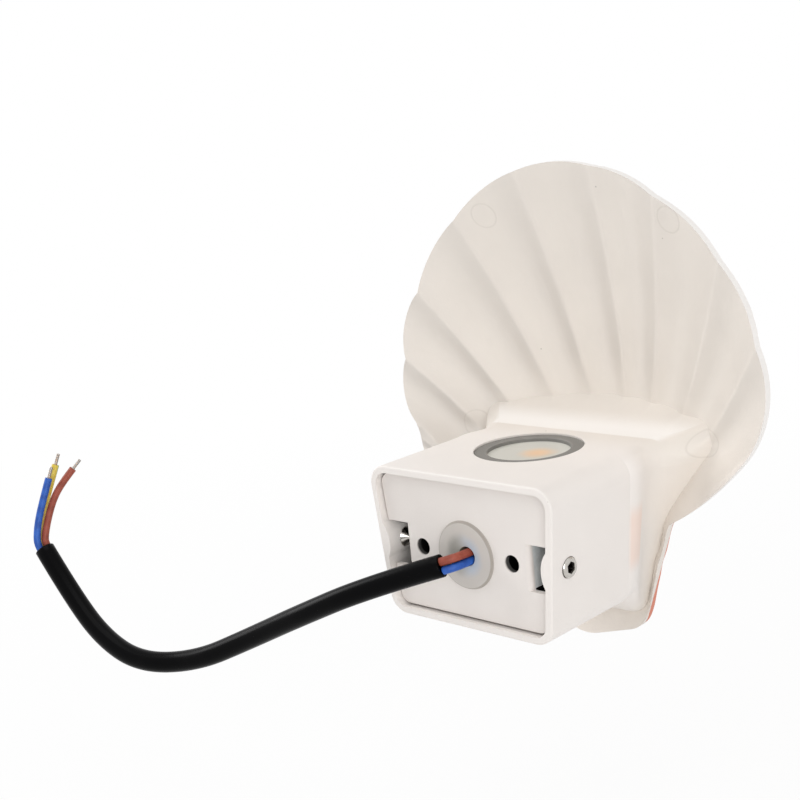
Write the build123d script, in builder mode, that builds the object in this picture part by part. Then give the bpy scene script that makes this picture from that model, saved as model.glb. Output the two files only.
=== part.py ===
from build123d import *
import math
import os

# Scallop wall light in millimetres: Z is up, the wall lies at +Y and the light stands out to -Y.
# The origin is the middle of the wall bracket's rear face, between its two screw holes.

# Fits
SLIP = 0.5                     # bracket edge to housing wall
THREAD = 0.05                  # screw to its hole
LOOSE = 0.2                    # parts that drop into a pocket
MATCH = 0.01                   # positions closer than this count as the same

# Housing: a tapered box that opens at the wall
HOUSING_TOP_WIDTH = 57.0
HOUSING_BOTTOM_WIDTH = 49.6
HOUSING_TOP = 19.6
HOUSING_BOTTOM = -17.8
HOUSING_CORNER = 5.0
HOUSING_WALL = 1.8
HOUSING_RIM = 1.7              # the rim stands this far behind the bracket's rear face
RIM_ROUND = 0.5
HOUSING_LENGTH = 29.7          # straight part of the box, from the rim
CAVITY_LENGTH = 43.0
CAVITY_SIDE = -1.0             # growth of the cavity at its end, as for the neck
CAVITY_FOOT_SIDE = -7.5

# Neck: the box flares into the shell, and narrows to the shell's foot below
NECK_STEPS = (6.0, 15.0, 21.0, 28.0, 35.0)          # distance from the end of the box
NECK_SIDE = (0.2, 2.2, 7.5, 13.0, 18.0)             # growth of the half width at the top
NECK_TOP = (0.0, 0.1, 0.9, 3.2, 7.0)                # growth at the top
NECK_FOOT_SIDE = (-1.6, -7.4, -8.6, -9.0, -9.0)     # growth of the half width at the bottom
NECK_FOOT = (0.8, 8.4, 10.0, 11.0, 11.0)            # growth at the bottom

# Shell: a lobed disc, dished away from the wall, with a small eared foot
FAN_RADIUS = 55.0
FAN_HEIGHT = 30.8
RIM_DISTANCE = 43.2
SHELL_DISH = 17.6
DISH_HEIGHT = 15.0
DISH_POWER = 1.65
SHELL_WALL = 2.2
BEAK_HEIGHT = -26.0
# Notches of the edge from the top down, each at the end of a ridge of the rear face: degrees about the
# beak, distance outside the fan's circle, and how far the lobe above the notch stands out past the two.
LEFT_NOTCHES = ((6.2, 0.5, 0.4), (18.4, -1.2, 0.4), (31.4, -1.1, 0.5), (42.4, 1.0, 1.4), (51.6, 1.0, 1.7))
RIGHT_NOTCHES = ((5.7, 0.9, 0.4), (15.4, 0.1, 0.4), (26.9, 0.1, 0.4), (37.6, -0.2, 0.5), (48.8, -2.9, 2.0))
CORNER_ROUND = 4.0
RIB_DEPTH = 1.6
RIB_START = 38.0               # distance from the beak where the ribs begin
RIB_FULL = 68.0                # and where they have their full depth
RIB_FLATTEN = 0.6              # share of the depth that they lose towards the edge
RIB_EDGE = 0.7                 # share of the way to the edge where that begins
LEFT_SIDE_RISE = 4.5           # lobe between the last notch and the neck's notch
RIGHT_SIDE_RISE = 1.6
NOTCH_X = 27.5
NOTCH_Z = -1.6
NOTCH_ROUND = 1.8
EAR_X = 17.3
EAR_Z = -30.2
EAR_ROUND = 6.2
FOOT_Z = -35.2
FOOT_ROUND = 10.0
RIDGE_SOFTNESS = 0.15          # rounding of the ridges between the channels
GRID_ORIGIN = -110.0           # the rear face is drawn on a fan of points about this height
GRID_NEAR = 66.0
GRID_FAR = 204.0
GRID_SPREAD = 26.5
GRID_ROWS = 27
GRID_COLUMNS = 79

# Wall bracket
BRACKET_SHEET = 1.5
HOLE_SPACING = 27.6
HOLE_RADIUS = 2.1
NOTCH_REACH = 7.54             # from the housing's outside to the tab
NOTCH_HEIGHT = 11.2
TAB_HEIGHT = 10.4
TAB_LENGTH = 7.6
TAB_BEND = 1.2
GROMMET_RADIUS = 8.4
GROMMET_FLANGE = 0.7
GROMMET_SEAT = 6.9
GROMMET_CENTRE_RISE = 0.5

# Set screws
SCREW_DIAMETER = 5.0
SCREW_LENGTH = 5.0
SCREW_POINT = 2.0
SCREW_POINT_RADIUS = 0.5
SCREW_GAP = 3.2                # point to tab, with the screw backed out
SCREW_EDGE = 0.4
SCREW_Y = -4.6
SCREW_Z = -0.2
SCREW_SOCKET = 2.5
SCREW_SOCKET_DEPTH = 2.6
SCREW_BOSS_RADIUS = 8.0        # a swelling of the wall, round an axis along the housing
SCREW_BOSS_HEIGHT = 1.3
SCREW_BOSS_END = 1.0           # wall of the swelling past the screw

# Light window in the top of the housing, from the outside in
LENS_Y = -26.0
RING_RECESS = 0.4
RING_RADIUS = 13.4
RING_BORE = 10.3
RING_HEIGHT = 0.9
RING_EDGE = 0.15
LENS_HEIGHT = 1.6
LENS_GASKET = 0.8
LENS_LEDGE_BORE = 11.2
COLLAR_RADIUS = 14.8
COLLAR_FLOOR = 1.8
REFLECTOR_FLANGE = 1.0
REFLECTOR_WALL = 0.8
REFLECTOR_MOUTH = 10.6
REFLECTOR_THROAT = 5.2
REFLECTOR_HEIGHT = 8.0
BOARD_SIDE = 22.0
BOARD_HEIGHT = 1.4
EMITTER_RADIUS = 4.5
EMITTER_HEIGHT = 0.5
PAD_HEIGHT = 0.5
SINK_WIDTH = 42.4
SINK_LENGTH = 22.0
SINK_HEIGHT = 2.4
RAIL_WIDTH = 6.6
RAIL_LENGTH = 15.0
RAIL_HEIGHT = 4.0
SINK_SCREW_X = 19.0
SMALL_SCREW = 2.4
SMALL_HEAD = 4.2
SMALL_HEAD_HEIGHT = 1.3
SMALL_SCREW_LENGTH = 5.0

# Inner cover of the LED compartment, on four posts
COVER_REAR = 8.6               # cover's rear face, from the bracket's rear face
COVER_HEIGHT = 1.5
COVER_GASKET = 0.6
COVER_GASKET_WIDTH = 6.6
POST_RADIUS = 3.2
POST_INSET = 2.6               # the posts stand in the housing's corners, on its walls
POST_LENGTH = 12.0

# Driver and its two leads
DRIVER_WIDTH = 28.0
DRIVER_LENGTH = 20.0
DRIVER_HEIGHT = 11.0
LEAD_DIAMETER = 1.3
LEAD_SPACING = 6.0
LEAD_BEND = 0.8
LEAD_RISE = 1.6                # lead axis behind the driver and over the board

# Cable: sheath and three cores, bared at both ends
SHEATH_DIAMETER = 5.5
CORE_DIAMETER = 2.0
CORE_CIRCLE = 1.25             # core axes about the cable's axis
CONDUCTOR_DIAMETER = 0.9
CONDUCTOR_LENGTH = 3.2
ENTRY_X = -1.2                 # where the cores pass the bracket
ENTRY_Z = 0.2
ENTRY_RADIUS = 2.4
COVER_HOLE_RADIUS = 3.2        # the cores' way through the inner cover
CORE_LEAVE = 1.4               # straight run out of the sheath
CORE_TURN = 2.2                # run between the sheath's direction and the bracket's
CORE_STEP = 4.9                # runs inside the housing
CORE_STEPS = 4
CORE_SAG = 0.08
BEND_SHARE = 0.45              # of the shorter run, for a cord's bends
BROWN_TURNS = (120, 210)       # place about the cable's axis, at the near and the far end
BLUE_TURNS = (240, 90)
EARTH_TURNS = (0, 330)
SHEATH_ROUTE = [
    (1.4, 7.0, -0.6),
    (19.6, 15.2, -6.6),
    (39.2, 19.5, -15.6),
    (57.2, 22.0, -24.4),
    (74.2, 27.5, -32.3),
    (90.2, 34.0, -33.8),
    (104.7, 35.5, -28.8),
    (118.2, 35.0, -18.6),
    (127.6, 35.4, -7.0),
]
BROWN_TAIL = [
    (127.8, 34.4, -3.2),
    (127.7, 32.7, 1.3),
    (126.9, 30.4, 6.6),
    (125.4, 27.8, 10.6),
    (123.6, 24.9, 14.0),
]
BLUE_TAIL = [(128.8, 36.6, -3.6), (128.8, 35.2, 1.2), (128.2, 32.7, 7.4), (127.6, 30.6, 12.3)]
EARTH_TAIL = [(130.6, 34.2, -4.3), (130.8, 32.6, 1.7), (130.0, 29.9, 8.1), (129.1, 26.9, 15.1)]

WALL_SIDE = Vector(0, 1, 0)
FRONT_SIDE = Vector(0, -1, 0)
os.makedirs("parts", exist_ok=True)


def save(piece, name):
    """Label a finished piece and write its file."""
    piece.label = name
    export_step(piece, f"parts/{name}.step")


def housing_half_width(z):
    """Half width of the housing's outside at height z."""
    share = (z - HOUSING_BOTTOM) / (HOUSING_TOP - HOUSING_BOTTOM)
    return (HOUSING_BOTTOM_WIDTH + share * (HOUSING_TOP_WIDTH - HOUSING_BOTTOM_WIDTH)) / 2


def housing_section(y, inset=0, side=0, top=0, foot_side=0, foot=0):
    """Rounded trapezoid of the housing at depth y, grown outwards or inset all round."""
    half_top = HOUSING_TOP_WIDTH / 2 + side
    half_foot = HOUSING_BOTTOM_WIDTH / 2 + foot_side
    upper = HOUSING_TOP + top
    lower = HOUSING_BOTTOM - foot
    with BuildSketch(Plane.XZ.offset(-y)) as section:
        with BuildLine():
            Polyline(
                (-half_top, upper), (half_top, upper), (half_foot, lower), (-half_foot, lower), close=True
            )
        make_face()
        fillet(section.vertices(), HOUSING_CORNER)
        if inset:
            offset(amount=-inset)
    return section.sketch


def neck_section(step):
    """One section of the neck between the box and the shell."""
    return housing_section(
        HOUSING_RIM - HOUSING_LENGTH - NECK_STEPS[step],
        side=NECK_SIDE[step],
        top=NECK_TOP[step],
        foot_side=NECK_FOOT_SIDE[step],
        foot=NECK_FOOT[step],
    )


def fan_point(angle, rise):
    """Point this far outside the fan's circle, at this angle from the beak; positive is +X."""
    reach = FAN_HEIGHT - BEAK_HEIGHT
    radius = FAN_RADIUS + rise
    turn = math.radians(angle)
    length = reach * math.cos(turn) + math.sqrt(radius**2 - (reach * math.sin(turn)) ** 2)
    return (length * math.sin(turn), BEAK_HEIGHT + length * math.cos(turn))


def dish_reach(angle, notches, other_notches):
    """Distance from the dish's deepest point to the shell's edge; angle 0 is up, 180 is down."""

    def to_point(x, z):
        return (math.degrees(math.atan2(x, z - DISH_HEIGHT)), math.hypot(x, z - DISH_HEIGHT))

    def steepness(before, here, after):
        rise = (here[1] - before[1]) / (here[0] - before[0])
        next_rise = (after[1] - here[1]) / (after[0] - here[0])
        return 2 * rise * next_rise / (rise + next_rise) if rise * next_rise > 0 else 0

    rim = [fan_point(turn, out) for turn, out, rise in notches]
    corner_x, corner_z = rim[-1]
    other_turn, other_out, other_rise = other_notches[0]
    other = to_point(*fan_point(other_turn, other_out))
    foot_side = to_point(EAR_X / 2, (EAR_Z + FOOT_Z) / 2)
    knots = [(-other[0], other[1]), to_point(*fan_point(0, (notches[0][1] + other_out) / 2))]
    knots += [to_point(x, z) for x, z in rim]
    knots += [
        to_point((corner_x + NOTCH_X) / 2, (corner_z + NOTCH_Z) / 2),
        to_point(NOTCH_X, NOTCH_Z),
        to_point((NOTCH_X + EAR_X) / 2, (NOTCH_Z + EAR_Z) / 2),
        to_point(EAR_X, EAR_Z),
        foot_side,
        to_point(0, FOOT_Z),
        (360 - foot_side[0], foot_side[1]),
    ]
    for before, start, end, after in zip(knots, knots[1:], knots[2:], knots[3:]):
        if angle <= end[0]:
            span = end[0] - start[0]
            share = (angle - start[0]) / span
            rest = 1 - share
            leave = span * steepness(before, start, end)
            arrive = span * steepness(start, end, after)
            return (
                start[1] * rest * rest * (1 + 2 * share)
                + end[1] * share * share * (1 + 2 * rest)
                + share * rest * (leave * rest - arrive * share)
            )


def rib_count(angle, notches):
    """Ribs from the middle to this angle about the beak; halves lie on the ridges."""
    ridges = [0] + [turn for turn, out, rise in notches]
    counts = [0] + [place + 0.5 for place in range(len(notches))]
    for start, end, low, high in zip(ridges, ridges[1:], counts, counts[1:]):
        if angle <= end:
            return low + (high - low) * (angle - start) / (end - start)
    return counts[-1] + (angle - ridges[-1]) / (ridges[-1] - ridges[-2])


def soft_step(value):
    """Smooth rise from 0 to 1 while the value goes from 0 to 1."""
    share = min(max(value, 0), 1)
    return share * share * (3 - 2 * share)


def shell_back(x, z):
    """Depth (y) of the shell's rear face: a dish with soft channels that fan out from the beak."""
    turn = math.degrees(math.atan2(x, z - BEAK_HEIGHT))
    sides = (LEFT_NOTCHES, RIGHT_NOTCHES) if turn > 0 else (RIGHT_NOTCHES, LEFT_NOTCHES)
    angle = abs(math.degrees(math.atan2(x, z - DISH_HEIGHT)))
    share = math.hypot(x, z - DISH_HEIGHT) / dish_reach(angle, *sides)
    dish = SHELL_DISH * (1 - share**DISH_POWER if share < 1 else DISH_POWER * (1 - share))
    ribs = rib_count(abs(turn), sides[0])
    grow = soft_step((math.hypot(x, z - BEAK_HEIGHT) - RIB_START) / (RIB_FULL - RIB_START))
    grow *= 1 - RIB_FLATTEN * soft_step((share - RIB_EDGE) / (1 - RIB_EDGE))
    fade = soft_step(len(sides[0]) + 0.5 - ribs)
    wave = math.hypot(math.cos(math.pi * ribs), RIDGE_SOFTNESS) - RIDGE_SOFTNESS
    return -RIM_DISTANCE - dish - RIB_DEPTH * grow * fade * wave


def shell_back_face():
    """The shell's rear face, somewhat larger than its outline, lofted through rows of splines."""
    places = [column / (GRID_COLUMNS - 1) for column in range(GRID_COLUMNS)]
    rows = []
    for row in range(GRID_ROWS):
        radius = GRID_NEAR + (GRID_FAR - GRID_NEAR) * row / (GRID_ROWS - 1)
        points = []
        for place in places:
            turn = math.radians(GRID_SPREAD * (2 * place - 1))
            x = radius * math.sin(turn)
            z = GRID_ORIGIN + radius * math.cos(turn)
            points.append((x, shell_back(x, z), z))
        rows.append(Wire([Edge.make_spline(points, parameters=places)]))
    return Shell.make_loft(rows).faces()[0]


def cord_radii(points):
    """Largest even bend at each inner point of a route."""
    radii = []
    for before, here, after in zip(points, points[1:], points[2:]):
        run_in = Vector(*here) - Vector(*before)
        run_out = Vector(*after) - Vector(*here)
        half = math.radians(run_in.get_angle(run_out)) / 2
        radii.append(BEND_SHARE * min(run_in.length, run_out.length) / math.tan(half))
    return radii


def tube(points, diameter, name, radii=None):
    """Round tube along straight runs and tangent arcs; prints its bends and its volume."""
    bends = radii or cord_radii(points)
    with BuildPart() as piece:
        with BuildLine() as route:
            FilletPolyline(*points, radius=bends)
        with BuildSketch(Plane(route.line @ 0, z_dir=route.line % 0)):
            Circle(diameter / 2)
        sweep()
    ideal = math.pi * diameter**2 / 4 * sum(edge.length for edge in route.edges())
    sizes = [round(bend, 1) for bend in bends]
    print(name, "bends", sizes, "volume ratio", round(piece.part.volume / ideal, 4))
    return piece.part


def mitre(first, second, place):
    """Offset of one core where the cable's way turns from the first frame to the second."""
    across = (first.x_dir + second.x_dir) / (1 + first.x_dir.dot(second.x_dir))
    upward = (first.y_dir + second.y_dir) / (1 + first.y_dir.dot(second.y_dir))
    return across * place.X + upward * place.Y


# Shell: dished slab trimmed to the lobed outline
back_face = shell_back_face()
with BuildPart() as shell:
    extrude(back_face, amount=SHELL_WALL, dir=FRONT_SIDE)
    with BuildSketch(Plane.XZ) as outline:
        with BuildLine():
            edge = [(-turn, out, rise) for turn, out, rise in reversed(RIGHT_NOTCHES)]
            edge += LEFT_NOTCHES
            for start, end in zip(edge, edge[1:]):
                middle = (start[0] + end[0]) / 2
                rise = start[2] if middle < 0 else end[2]
                crest = fan_point(middle, (start[1] + end[1]) / 2 + rise)
                ThreePointArc(fan_point(*start[:2]), crest, fan_point(*end[:2]))
            rounds = [(NOTCH_Z, NOTCH_ROUND), (EAR_Z, EAR_ROUND), (FOOT_Z, FOOT_ROUND)]
            for last, sign, side_rise in ((edge[0], -1, RIGHT_SIDE_RISE), (edge[-1], 1, LEFT_SIDE_RISE)):
                corner = Vector(*fan_point(*last[:2]))
                rounds.append((corner.Y, CORNER_ROUND))
                notch = Vector(sign * NOTCH_X, NOTCH_Z)
                run = notch - corner
                bulge = Vector(-run.Y, run.X).normalized() * side_rise * sign
                ThreePointArc(corner, (corner + notch) / 2 + bulge, notch)
                Polyline(notch, (sign * EAR_X, EAR_Z), (0, FOOT_Z))
        make_face()
        for z, size in rounds:
            corners = [v for v in outline.vertices() if abs(v.Y - z) < MATCH]
            fillet(corners, size)
    extrude(amount=2 * RIM_DISTANCE, mode=Mode.INTERSECT)

# Neck: lofted through its sections and cut off inside the shell's wall
with BuildPart() as neck:
    sections = [housing_section(HOUSING_RIM - HOUSING_LENGTH)]
    sections += [neck_section(step) for step in range(len(NECK_STEPS))]
    loft(sections)
    extrude(
        back_face.moved(Location((0, -SHELL_WALL / 2, 0))), amount=3 * RIM_DISTANCE, dir=WALL_SIDE,
        mode=Mode.INTERSECT,
    )

# Heights of the light stack, from the top of the housing down
ring_top = HOUSING_TOP - RING_RECESS
ring_bottom = ring_top - RING_HEIGHT
lens_bottom = ring_bottom - LENS_HEIGHT
ledge_top = lens_bottom - LENS_GASKET
collar_bottom = ledge_top - COLLAR_FLOOR
board_top = collar_bottom - REFLECTOR_HEIGHT
board_bottom = board_top - BOARD_HEIGHT
sink_top = board_bottom - PAD_HEIGHT
sink_bottom = sink_top - SINK_HEIGHT
cover_front = -COVER_REAR - COVER_HEIGHT
post_rear = cover_front - COVER_GASKET
cavity_end = HOUSING_RIM - CAVITY_LENGTH
post_places = []
for post_z in (HOUSING_TOP - HOUSING_WALL - POST_INSET, HOUSING_BOTTOM + HOUSING_WALL + POST_INSET):
    for sign in (-1, 1):
        post_places.append((sign * (housing_half_width(post_z) - HOUSING_WALL - POST_INSET), post_z))

# Cast body: box, neck and shell with the wall-side cavity, the light window and the screw bosses
with BuildPart() as body:
    extrude(housing_section(HOUSING_RIM), amount=HOUSING_LENGTH)
    fillet(body.faces().sort_by(Axis.Y)[-1].edges(), RIM_ROUND)
    add(neck.part)
    add(shell.part)
    extrude(housing_section(HOUSING_RIM, HOUSING_WALL), amount=HOUSING_LENGTH, mode=Mode.SUBTRACT)
    loft(
        [
            housing_section(HOUSING_RIM - HOUSING_LENGTH, HOUSING_WALL),
            housing_section(cavity_end, HOUSING_WALL, side=CAVITY_SIDE, foot_side=CAVITY_FOOT_SIDE),
        ],
        mode=Mode.SUBTRACT,
    )
    with BuildSketch(Plane.XZ.offset(-post_rear)):
        with Locations(*post_places):
            Circle(POST_RADIUS)
    extrude(amount=POST_LENGTH)
    with BuildSketch(Plane.XY.offset(collar_bottom)):
        with Locations((0, LENS_Y)):
            Circle(COLLAR_RADIUS)
    extrude(amount=HOUSING_TOP - HOUSING_WALL / 2 - collar_bottom)
    for sign in (-1, 1):
        rail_outer = housing_half_width(sink_bottom) - HOUSING_WALL / 2
        with BuildSketch(Plane.XY.offset(sink_bottom - RAIL_HEIGHT)):
            with Locations((sign * (rail_outer - RAIL_WIDTH - HOUSING_WALL / 2), LENS_Y + SINK_LENGTH / 2)):
                Rectangle(
                    RAIL_WIDTH + HOUSING_WALL / 2, RAIL_LENGTH,
                    align=(Align.MIN if sign > 0 else Align.MAX, Align.MAX),
                )
        extrude(amount=RAIL_HEIGHT)
        boss_inner = housing_half_width(SCREW_Z) - HOUSING_WALL - SCREW_BOSS_HEIGHT
        with BuildSketch(Plane.XZ.offset(-HOUSING_RIM)):
            with Locations((sign * (boss_inner + SCREW_BOSS_RADIUS), SCREW_Z)):
                Circle(SCREW_BOSS_RADIUS)
            with Locations((sign * boss_inner, SCREW_Z)):
                Rectangle(
                    SCREW_BOSS_HEIGHT + HOUSING_WALL / 2, 2 * SCREW_BOSS_RADIUS,
                    align=(Align.MIN if sign > 0 else Align.MAX, Align.CENTER), mode=Mode.INTERSECT,
                )
        extrude(amount=HOUSING_RIM - SCREW_Y + SCREW_DIAMETER / 2 + SCREW_BOSS_END)
        with BuildSketch(Plane(origin=(sign * boss_inner, SCREW_Y, SCREW_Z), z_dir=(sign, 0, 0))):
            Circle(SCREW_DIAMETER / 2 + THREAD)
        extrude(amount=SCREW_BOSS_HEIGHT + 3 * HOUSING_WALL, mode=Mode.SUBTRACT)
    with Locations((0, LENS_Y, HOUSING_TOP)):
        CounterBoreHole(
            LENS_LEDGE_BORE, RING_RADIUS + LOOSE, HOUSING_TOP - ledge_top, HOUSING_TOP - collar_bottom
        )
    with BuildSketch(Plane.XZ.offset(-post_rear)):
        with Locations(*post_places):
            Circle(SMALL_SCREW / 2 + THREAD)
    extrude(amount=SMALL_SCREW_LENGTH, mode=Mode.SUBTRACT)
    with BuildSketch(Plane.XY.offset(sink_bottom)):
        with Locations((-SINK_SCREW_X, LENS_Y), (SINK_SCREW_X, LENS_Y)):
            Circle(SMALL_SCREW / 2 + THREAD)
    extrude(amount=-RAIL_HEIGHT, mode=Mode.SUBTRACT)
save(body.part, "cast_body")

# Light window: ring, lens and gasket in the pocket
with BuildPart() as lens_ring:
    with BuildSketch(Plane.XY.offset(ring_bottom)):
        with Locations((0, LENS_Y)):
            Circle(RING_RADIUS)
            Circle(RING_BORE, mode=Mode.SUBTRACT)
    extrude(amount=RING_HEIGHT)
    inner_edge = lens_ring.edges().filter_by(GeomType.CIRCLE).group_by(Axis.Z)[-1].sort_by(SortBy.RADIUS)[0]
    chamfer(inner_edge, RING_EDGE)
save(lens_ring.part, "lens_ring")

with BuildPart() as lens:
    with BuildSketch(Plane.XY.offset(lens_bottom)):
        with Locations((0, LENS_Y)):
            Circle(RING_RADIUS)
    extrude(amount=LENS_HEIGHT)
save(lens.part, "lens")

with BuildPart() as lens_gasket:
    with BuildSketch(Plane.XY.offset(ledge_top)):
        with Locations((0, LENS_Y)):
            Circle(RING_RADIUS)
            Circle(LENS_LEDGE_BORE, mode=Mode.SUBTRACT)
    extrude(amount=LENS_GASKET)
save(lens_gasket.part, "lens_gasket")

# LED stack under the window: reflector, emitter, board, pad and heat sink on two rails
with BuildPart() as reflector:
    with BuildSketch(Plane.XZ.offset(-LENS_Y)):
        with BuildLine():
            Polyline(
                (REFLECTOR_THROAT, board_top),
                (REFLECTOR_MOUTH, collar_bottom),
                (COLLAR_RADIUS, collar_bottom),
                (COLLAR_RADIUS, collar_bottom - REFLECTOR_FLANGE),
                (REFLECTOR_MOUTH + REFLECTOR_WALL, collar_bottom - REFLECTOR_FLANGE),
                (REFLECTOR_THROAT + REFLECTOR_WALL, board_top),
                close=True,
            )
        make_face()
    revolve(axis=Axis((0, LENS_Y, 0), (0, 0, 1)))
save(reflector.part, "reflector")

with BuildPart() as led_board:
    with BuildSketch(Plane.XY.offset(board_bottom)):
        with Locations((0, LENS_Y)):
            RectangleRounded(BOARD_SIDE, BOARD_SIDE, 2 * BOARD_HEIGHT)
    extrude(amount=BOARD_HEIGHT)
save(led_board.part, "led_board")

with BuildPart() as led_emitter:
    with BuildSketch(Plane.XY.offset(board_top)):
        with Locations((0, LENS_Y)):
            Circle(EMITTER_RADIUS)
    extrude(amount=EMITTER_HEIGHT)
save(led_emitter.part, "led_emitter")

with BuildPart() as thermal_pad:
    with BuildSketch(Plane.XY.offset(sink_top)):
        with Locations((0, LENS_Y)):
            Rectangle(BOARD_SIDE, BOARD_SIDE)
    extrude(amount=PAD_HEIGHT)
save(thermal_pad.part, "thermal_pad")

with BuildPart() as heat_sink:
    with BuildSketch(Plane.XY.offset(sink_bottom)):
        with Locations((0, LENS_Y)):
            Rectangle(SINK_WIDTH, SINK_LENGTH)
        with Locations((-SINK_SCREW_X, LENS_Y), (SINK_SCREW_X, LENS_Y)):
            Circle(SMALL_SCREW / 2 + THREAD, mode=Mode.SUBTRACT)
    extrude(amount=SINK_HEIGHT)
save(heat_sink.part, "heat_sink")


def small_screw(seat):
    """Pan-head screw in the open part, with its head on the seat plane and its shank behind it."""
    with BuildSketch(seat) as head:
        Circle(SMALL_HEAD / 2)
    extrude(head.sketch, amount=SMALL_HEAD_HEIGHT)
    with BuildSketch(seat) as shank:
        Circle(SMALL_SCREW / 2)
    extrude(shank.sketch, amount=-SMALL_SCREW_LENGTH)


with BuildPart() as sink_screws:
    for sign in (-1, 1):
        small_screw(Plane.XY.offset(sink_top).shift_origin((sign * SINK_SCREW_X, LENS_Y, sink_top)))
save(sink_screws.part, "sink_screws")

# Inner cover with its gasket, screwed to the posts
cover_inset = HOUSING_WALL + LOOSE
with BuildPart() as inner_cover:
    extrude(housing_section(-COVER_REAR, cover_inset), amount=COVER_HEIGHT)
    with BuildSketch(Plane.XZ.offset(COVER_REAR)):
        with Locations(*post_places):
            Circle(SMALL_SCREW / 2 + THREAD)
        with Locations((ENTRY_X, ENTRY_Z)):
            Circle(COVER_HOLE_RADIUS)
    extrude(amount=COVER_HEIGHT, mode=Mode.SUBTRACT)
save(inner_cover.part, "inner_cover")

with BuildPart() as cover_gasket:
    extrude(housing_section(cover_front, cover_inset), amount=COVER_GASKET)
    with BuildSketch(Plane.XZ.offset(-cover_front)):
        RectangleRounded(
            2 * (housing_half_width(HOUSING_BOTTOM) - cover_inset - COVER_GASKET_WIDTH),
            HOUSING_TOP - HOUSING_BOTTOM - 2 * cover_inset - COVER_GASKET_WIDTH,
            HOUSING_CORNER,
        )
        with Locations(*post_places):
            Circle(SMALL_SCREW / 2 + THREAD)
    extrude(amount=COVER_GASKET, mode=Mode.SUBTRACT)
save(cover_gasket.part, "cover_gasket")

with BuildPart() as cover_screws:
    for x, z in post_places:
        small_screw(Plane(origin=(x, -COVER_REAR, z), z_dir=WALL_SIDE))
save(cover_screws.part, "cover_screws")

# Driver on the housing's floor, and two leads that climb behind the heat sink to the board
driver_floor = HOUSING_BOTTOM + HOUSING_WALL
driver_top = driver_floor + DRIVER_HEIGHT
driver_rear = LENS_Y + DRIVER_LENGTH / 2
with BuildPart() as driver_case:
    with BuildSketch(Plane.XY.offset(driver_floor)):
        with Locations((0, LENS_Y)):
            RectangleRounded(DRIVER_WIDTH, DRIVER_LENGTH, LEAD_DIAMETER)
    extrude(amount=DRIVER_HEIGHT)
    chamfer(driver_case.edges().group_by(Axis.Z)[-1], LEAD_DIAMETER / 2)
save(driver_case.part, "driver_case")

lead_height = (driver_floor + driver_top) / 2
lead_behind = LENS_Y + SINK_LENGTH / 2 + LEAD_RISE / 2
lead_over = board_top + LEAD_RISE
lead_land = LENS_Y + BOARD_SIDE / 2 - LEAD_RISE
for name, sign in (("lead_positive", 1), ("lead_negative", -1)):
    x = sign * LEAD_SPACING
    route = [
        (x, driver_rear, lead_height),
        (x, lead_behind, lead_height),
        (x, lead_behind, lead_over),
        (x, lead_land, lead_over),
        (x, lead_land, board_top),
    ]
    save(tube(route, LEAD_DIAMETER, name, [LEAD_BEND] * 3), name)

# Wall bracket: bent sheet with screw holes, side notches and two tabs for the set screws
tab_face = housing_half_width(SCREW_Z) - NOTCH_REACH
with BuildPart() as wall_bracket:
    extrude(housing_section(0, HOUSING_WALL + SLIP), amount=BRACKET_SHEET)
    with BuildSketch(Plane.XZ):
        for sign in (-1, 1):
            with Locations((sign * tab_face, SCREW_Z)):
                Rectangle(
                    HOUSING_TOP_WIDTH, NOTCH_HEIGHT,
                    align=(Align.MIN if sign > 0 else Align.MAX, Align.CENTER),
                )
        with Locations((-HOLE_SPACING / 2, 0), (HOLE_SPACING / 2, 0)):
            Circle(HOLE_RADIUS)
        Circle(GROMMET_SEAT)
    extrude(amount=BRACKET_SHEET, mode=Mode.SUBTRACT)
    with BuildSketch(Plane.XZ):
        for sign in (-1, 1):
            with Locations((sign * tab_face, SCREW_Z)):
                Rectangle(
                    BRACKET_SHEET, TAB_HEIGHT, align=(Align.MAX if sign > 0 else Align.MIN, Align.CENTER)
                )
    extrude(amount=TAB_LENGTH)
    bends = [
        edge for edge in wall_bracket.edges().filter_by(Axis.Z).group_by(Axis.Y)[-1]
        if abs(abs(edge.center().X) - tab_face) < MATCH and abs(edge.length - NOTCH_HEIGHT) < MATCH
    ]
    fillet(bends, TAB_BEND)
save(wall_bracket.part, "wall_bracket")

# Grommet: a grooved disc in the bracket with a raised middle and one hole for the three cores
with BuildPart() as cable_grommet:
    with BuildSketch(Plane.XY):
        with BuildLine():
            Polyline(
                (0, -BRACKET_SHEET - GROMMET_FLANGE),
                (GROMMET_RADIUS - GROMMET_FLANGE, -BRACKET_SHEET - GROMMET_FLANGE),
                (GROMMET_RADIUS - GROMMET_FLANGE, -BRACKET_SHEET),
                (GROMMET_SEAT, -BRACKET_SHEET),
                (GROMMET_SEAT, 0),
                (GROMMET_RADIUS, 0),
                (GROMMET_RADIUS - GROMMET_FLANGE / 2, GROMMET_FLANGE),
            )
            ThreePointArc(
                (GROMMET_RADIUS - GROMMET_FLANGE / 2, GROMMET_FLANGE),
                (GROMMET_RADIUS / 2, GROMMET_FLANGE + 3 * GROMMET_CENTRE_RISE / 4),
                (0, GROMMET_FLANGE + GROMMET_CENTRE_RISE),
            )
            Line((0, GROMMET_FLANGE + GROMMET_CENTRE_RISE), (0, -BRACKET_SHEET - GROMMET_FLANGE))
        make_face()
    revolve(axis=Axis.Y)
    with BuildSketch(Plane.XZ):
        with Locations((ENTRY_X, ENTRY_Z)):
            Circle(ENTRY_RADIUS)
    extrude(amount=2 * GROMMET_RADIUS, both=True, mode=Mode.SUBTRACT)
save(cable_grommet.part, "cable_grommet")

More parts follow.
